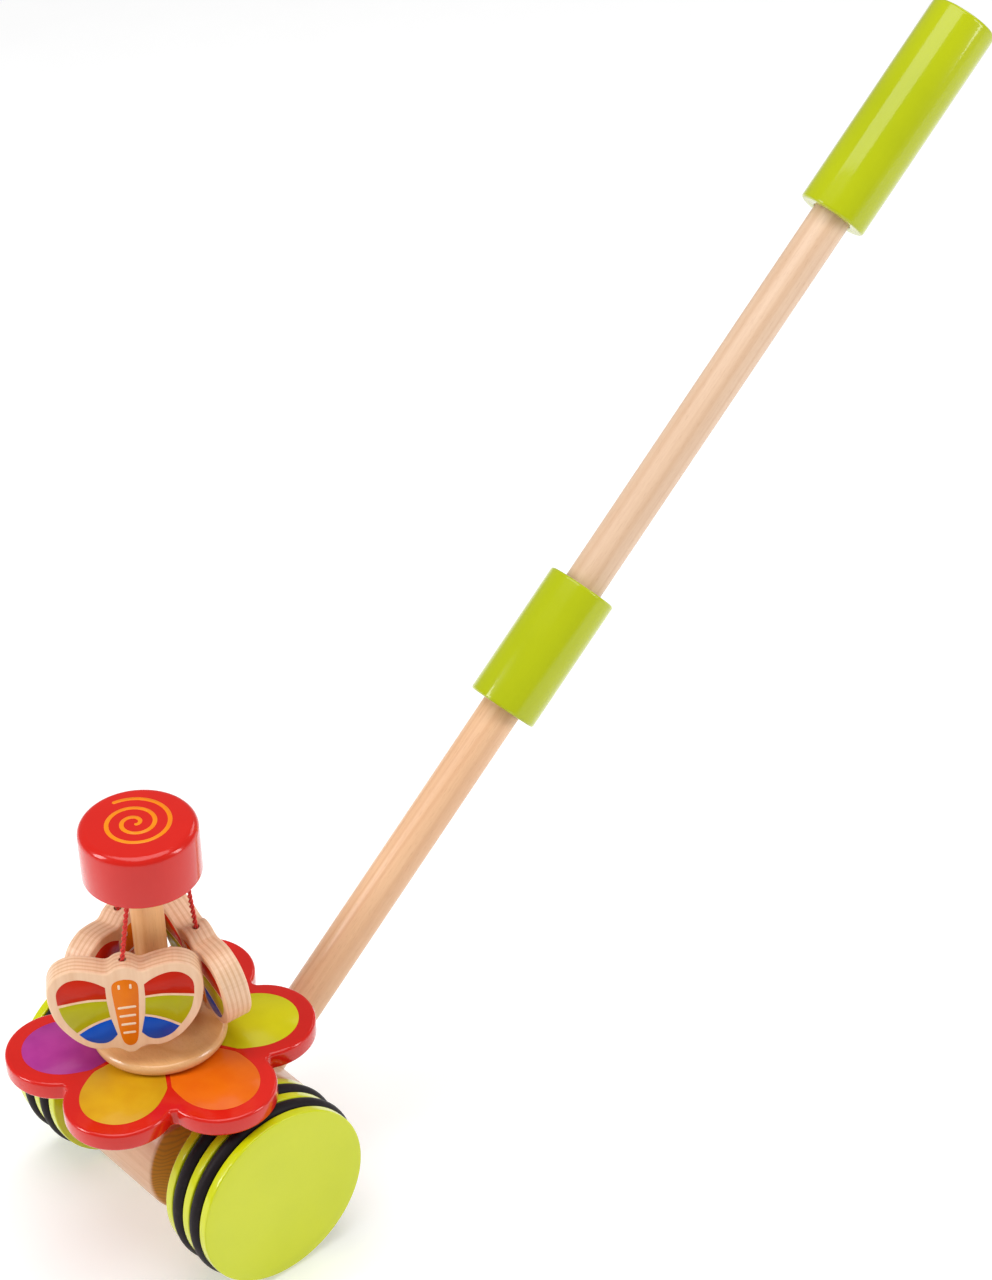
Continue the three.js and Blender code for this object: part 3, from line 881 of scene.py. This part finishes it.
def butterfly_frame(hanging):
    """The plate's X is across it, Y is up and Z is its outer face; it leans about its top."""
    face = math.radians(hanging["face"])
    out = Vector((math.cos(face), math.sin(face), 0))
    up = Vector((0, 0, 1))
    across = up.cross(out)
    turn = Matrix((across, up, out)).transposed().to_4x4()
    lean = Matrix.Rotation(-math.radians(hanging["lean"]), 4, "X")
    return Matrix.Translation(bearing_point(*hanging["hang"])) @ turn @ lean


def mirrored(points):
    return [(-x, y) for x, y in points]


WING_TOP = [(8, -9.6), (11, -7.4), (14.4, -5.6), (18, -4.5), (20.8, -4.4), (23.8, -5.2),
            (26.4, -7.2), (28, -9.9), (28.4, -12.6), (28.2, -16.8)]
BAND_ONE = [(28.2, -16.8), (22, -15.9), (15, -15.2), (8, -15.6)]
BAND_TWO = [(8, -16.7), (15, -16.4), (22, -17.1), (27.9, -18.2)]
WING_SIDE = [(27.9, -18.2), (26.6, -23.4), (24.4, -28), (21.6, -32)]
BAND_THREE = [(21.6, -32), (16.6, -28.8), (11.6, -26.5), (7.2, -25.2)]
BAND_FOUR = [(6.9, -26.3), (11.4, -27.7), (16.2, -30), (20.8, -33)]
WING_FOOT = [(20.8, -33), (17.8, -36.2), (14.2, -38.1), (10.6, -38.6), (7.6, -37.4), (5, -34.6)]
BODY_SIDE = [(0, -6.2), (3, -6.8), (5, -8.4), (5.5, -11), (5.3, -16), (4.7, -24), (3.9, -33), (3, -38.2),
             (1.6, -40.4), (0, -41)]

INKS = {
    "red": ((202, 40, 14), (188, 30, 10)),
    "olive": ((182, 174, 18), (166, 160, 12)),
    "blue": ((2, 78, 184), (2, 62, 160)),
    "orange": ((232, 124, 12), (220, 104, 8)),
    "cream": ((248, 222, 192), (240, 208, 174)),
}


def wing_prints():
    """The three colour bands of a right wing, as closed outlines."""
    red = smooth_line(WING_TOP) + smooth_line(BAND_ONE)[1:]
    olive = smooth_line(BAND_TWO) + smooth_line(WING_SIDE)[1:] + smooth_line(BAND_THREE)[1:]
    blue = smooth_line(BAND_FOUR) + smooth_line(WING_FOOT)[1:]
    return {"red": red, "olive": olive, "blue": blue}


def rounded_bar(x, y, half_length, half_width, slope=0.0):
    turn = Matrix.Rotation(slope, 2)
    points = arc(half_length, 0, half_width, -90, 90, 6) + arc(-half_length, 0, half_width, 90, 270, 6)
    return [tuple(Vector((x, y)) + turn @ Vector(p)) for p in points]


def butterfly_prints():
    prints = []
    for ink, outline in wing_prints().items():
        prints.append((f"{ink}_r", ink, outline, 0))
        prints.append((f"{ink}_l", ink, mirrored(outline), 0))
    side = smooth_line(BODY_SIDE)
    prints.append(("body", "orange", side + [(-x, y) for x, y in side[::-1][1:-1]], 0))
    for k, (y, half) in enumerate(((-20.8, 3.3), (-25.2, 2.9), (-29.6, 2.5), (-34, 2.1))):
        prints.append((f"stripe_{k}", "cream", rounded_bar(0, y, half, 0.58, 0.05), 1))
    for name, x in (("eye_r", 2.4), ("eye_l", -2.4)):
        prints.append((name, "cream", rounded_bar(x, -10, 0.75, 0.5, math.pi / 2), 1))
    return prints


def make_butterflies(materials):
    inks = {name: print_ink(f"ink_{name}", srgb(*c), srgb(*d)) for name, (c, d) in INKS.items()}
    loop = [(x, y) for x, y in WING] + [(-x, y) for x, y in WING[::-1][1:-1]]
    outline = smooth_loop(loop, 5)[::-1]
    half = PLATE["thick"] / 2
    for name, hanging in HANGINGS.items():
        body = f"butterfly_{name}"
        place = butterfly_frame(hanging)
        plate = slab(f"plate_{name}", outline, -half, half, PLATE["edge"], materials["ply"], place, 4, 50)
        up = place.to_3x3() @ Vector((0, 1, 0))
        foot = place.translation
        drill(plate, PLATE["hole"], foot - up * PLATE["hole_depth"] * MM, foot + up * 4 * MM, 24)
        finish_piece(plate, body, "plywood", f"butterfly_{name}")
        for part, ink, shape, layer in butterfly_prints():
            for face in ("outer", "inner"):
                printed(f"{name}_{part}_{face}", shape, half + layer * PRINT_LIFT, inks[ink], place, body,
                        "plywood", flip=face == "inner")


def make_cord(name, hanging, material):
    """A two-strand twisted cord from its hole in the cap to its hole in the butterfly."""
    top = bearing_point(hanging["hole"], CAP["cord_circle"], CAP["bottom"])
    foot = bearing_point(*hanging["hang"])
    along = (foot - top).normalized()
    start, length = top - along * 0.8 * MM, (foot - top).length + 1.6 * MM
    u = along.cross(Vector((0.3, 0.9, 0.1))).normalized()
    v = along.cross(u)
    vertices, faces = [], []
    strands, around, steps = 2, 12, 140
    offset = CORD["radius"] - CORD["strand"]
    for i in range(steps + 1):
        run = length * i / steps
        for strand in range(strands):
            twist = 2 * math.pi * (run / (CORD["lay"] * MM) + strand / strands)
            middle = start + along * run + (u * math.cos(twist) + v * math.sin(twist)) * offset * MM
            for k in range(around):
                angle = 2 * math.pi * k / around
                vertices.append(middle + (u * math.cos(angle) + v * math.sin(angle)) * CORD["strand"] * MM)
    row = strands * around
    for i in range(steps):
        for strand in range(strands):
            for k in range(around):
                a = i * row + strand * around + k
                b = i * row + strand * around + (k + 1) % around
                faces.append((a, b, b + row, a + row))
    for strand in range(strands):
        faces.append(tuple(strand * around + k for k in range(around)))
        last = steps * row + strand * around
        faces.append(tuple(last + k for k in range(around)))
    made = mesh_object(f"twisted_cord_{name}", vertices, faces, material)
    finish_piece(made, f"butterfly_{name}", "red_cord", f"cord_{name}")


# ---- Pivot pieces -----------------------------------------------------------------------


def make_pivot(materials):
    for name, radius, edge, inner_edge, look, slot in (
        ("boss", PIN["boss"], 1.2, 0.5, "post", "natural_wood"),
        ("washer", PIN["washer"], 0.4, 0.3, "plastic", "grey_plastic"),
    ):
        low, high = ((corner.z - HUB_POINT.z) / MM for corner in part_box(f"pivot_{name}"))
        ring = tube_profile(radius, PIN["hole"], low, high, edge, inner_edge)
        made = revolve(name, ring, materials[look], UPRIGHT, 72, closed=True)
        finish_piece(made, "frame", slot, f"pivot_{name}")
    for node in ("axle", "pivot_pin"):
        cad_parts[node].data.materials.clear()
        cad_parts[node].data.materials.append(materials["steel"])


make_camera()
make_light()
make_floor()
looks = make_materials()
make_block(looks)
make_wheels(looks)
make_handle(looks)
make_flower(looks)
make_hub(looks)
make_post(looks)
make_cap(looks)
make_butterflies(looks)
for label, hung in HANGINGS.items():
    make_cord(label, hung, looks["cord"])
make_pivot(looks)
